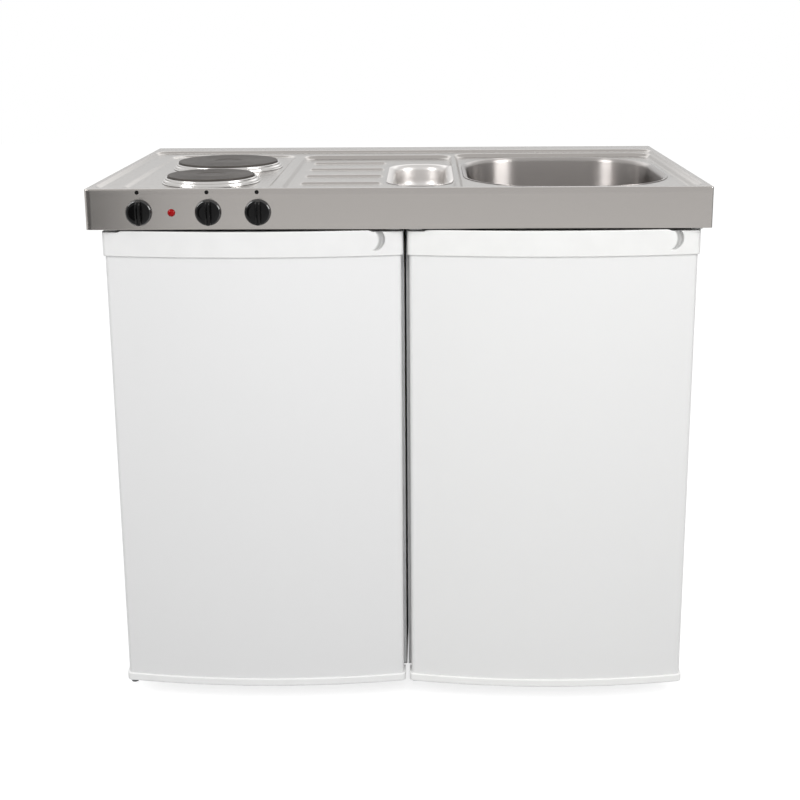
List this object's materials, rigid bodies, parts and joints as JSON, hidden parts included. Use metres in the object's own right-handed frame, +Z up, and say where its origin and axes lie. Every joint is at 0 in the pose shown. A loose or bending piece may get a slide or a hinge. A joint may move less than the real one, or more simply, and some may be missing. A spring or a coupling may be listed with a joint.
{
  "type": "kitchenette unit",
  "caption": "Compact kitchenette: pressed steel worktop with sink, drainer and electric hob over a small refrigerator and a sink cupboard with bowed doors.",
  "frame": {"origin": "floor under the middle of the bounding box", "axes": "+X to the right seen from the front, +Y to the back, +Z up"},
  "size_m": [1, 0.621, 0.906],
  "materials": {
    "stainless": "brushed",
    "polished": "polished",
    "cast_iron": "matt",
    "white_paint": "satin",
    "cream_paint": "satin",
    "white_trim": "satin",
    "cream_trim": "satin",
    "liner": "satin",
    "foam": "matt",
    "black_knob": "gloss",
    "black_plastic": "matt",
    "bakelite": "matt",
    "black_steel": "satin",
    "galvanised": "matt",
    "red_lens": "gloss",
    "glass": "clear",
    "clear_plastic": "clear",
    "white_plastic": "satin",
    "gasket": "matt"
  },
  "bodies": {
    "cabinet": {"worktop": "stainless", "sink_bowl": "stainless", "strainer_basin": "stainless", "sink_waste": "polished", "trap_body": "white_plastic", "trap_cup": "white_plastic", "drain_pipe": "white_plastic", "basin_waste": "polished", "branch_pipe": "white_plastic", "rear_hotplate": "cast_iron", "front_hotplate": "cast_iron", "rear_spill_ring": "polished", "front_spill_ring": "polished", "hob_tray": "galvanised", "timer_switch": "bakelite", "rear_plate_switch": "bakelite", "front_plate_switch": "bakelite", "pilot_lamp": "red_lens", "terminal_box": "black_plastic", "left_bearer": "galvanised", "right_bearer": "galvanised", "fridge_shell": "white_paint", "fridge_foam": "foam", "fridge_liner": "liner", "condenser_coil": "black_steel", "compressor": "black_steel", "compressor_tray": "galvanised", "upper_shelf": "glass", "lower_shelf": "glass", "crisper_drawer": "clear_plastic", "thermostat_housing": "liner", "fridge_upper_hinge": "white_paint", "fridge_lower_hinge": "galvanised", "cupboard_shell": "white_paint", "cupboard_floor": "white_paint", "cupboard_upper_hinge": "white_paint", "cupboard_lower_hinge": "galvanised", "fridge_front_left_foot": "black_plastic", "fridge_front_right_foot": "black_plastic", "fridge_rear_left_foot": "black_plastic", "fridge_rear_right_foot": "black_plastic", "cupboard_front_left_foot": "black_plastic", "cupboard_front_right_foot": "black_plastic", "cupboard_rear_left_foot": "black_plastic", "cupboard_rear_right_foot": "black_plastic"},
    "fridge_door": {"fridge_door_panel": "white_paint", "fridge_door_top_trim": "white_trim", "fridge_door_bottom_trim": "white_trim", "fridge_door_liner": "liner", "fridge_door_gasket": "gasket", "upper_door_bin": "clear_plastic", "lower_door_bin": "clear_plastic"},
    "cupboard_door": {"cupboard_door_panel": "cream_paint", "cupboard_door_top_trim": "cream_trim", "cupboard_door_bottom_trim": "cream_trim"},
    "timer": {"timer_knob": "black_knob"},
    "rear_plate_control": {"rear_plate_knob": "black_knob"},
    "front_plate_control": {"front_plate_knob": "black_knob"},
    "thermostat": {"thermostat_knob": "white_plastic"},
    "basket": {"strainer_basket": "polished"}
  },
  "joints": [
    {"name": "fridge_door_hinge", "type": "hinge", "parent": "cabinet", "child": "fridge_door", "pos_m": [-0.464, -0.2665, 0.43], "axis": [0, 0, -1], "range_deg": [0, 115]},
    {"name": "cupboard_door_hinge", "type": "hinge", "parent": "cabinet", "child": "cupboard_door", "pos_m": [0.029, -0.2665, 0.43], "axis": [0, 0, -1], "range_deg": [0, 100]},
    {"name": "timer_turn", "type": "hinge", "parent": "cabinet", "child": "timer", "pos_m": [-0.413, -0.2895, 0.862], "axis": [0, 1, 0], "range_deg": [0, 330]},
    {"name": "rear_plate_turn", "type": "hinge", "parent": "cabinet", "child": "rear_plate_control", "pos_m": [-0.302, -0.2895, 0.862], "axis": [0, 1, 0], "range_deg": [0, 300]},
    {"name": "front_plate_turn", "type": "hinge", "parent": "cabinet", "child": "front_plate_control", "pos_m": [-0.2226, -0.2895, 0.862], "axis": [0, 1, 0], "range_deg": [0, 300]},
    {"name": "thermostat_turn", "type": "hinge", "parent": "cabinet", "child": "thermostat", "pos_m": [-0.20175, -0.0838, 0.7715], "axis": [0, 1, 0], "range_deg": [0, 270]},
    {"name": "basket_lift", "type": "slide", "parent": "cabinet", "child": "basket", "axis": [0, 0, 1], "range_m": [0, 0.2]}
  ]
}
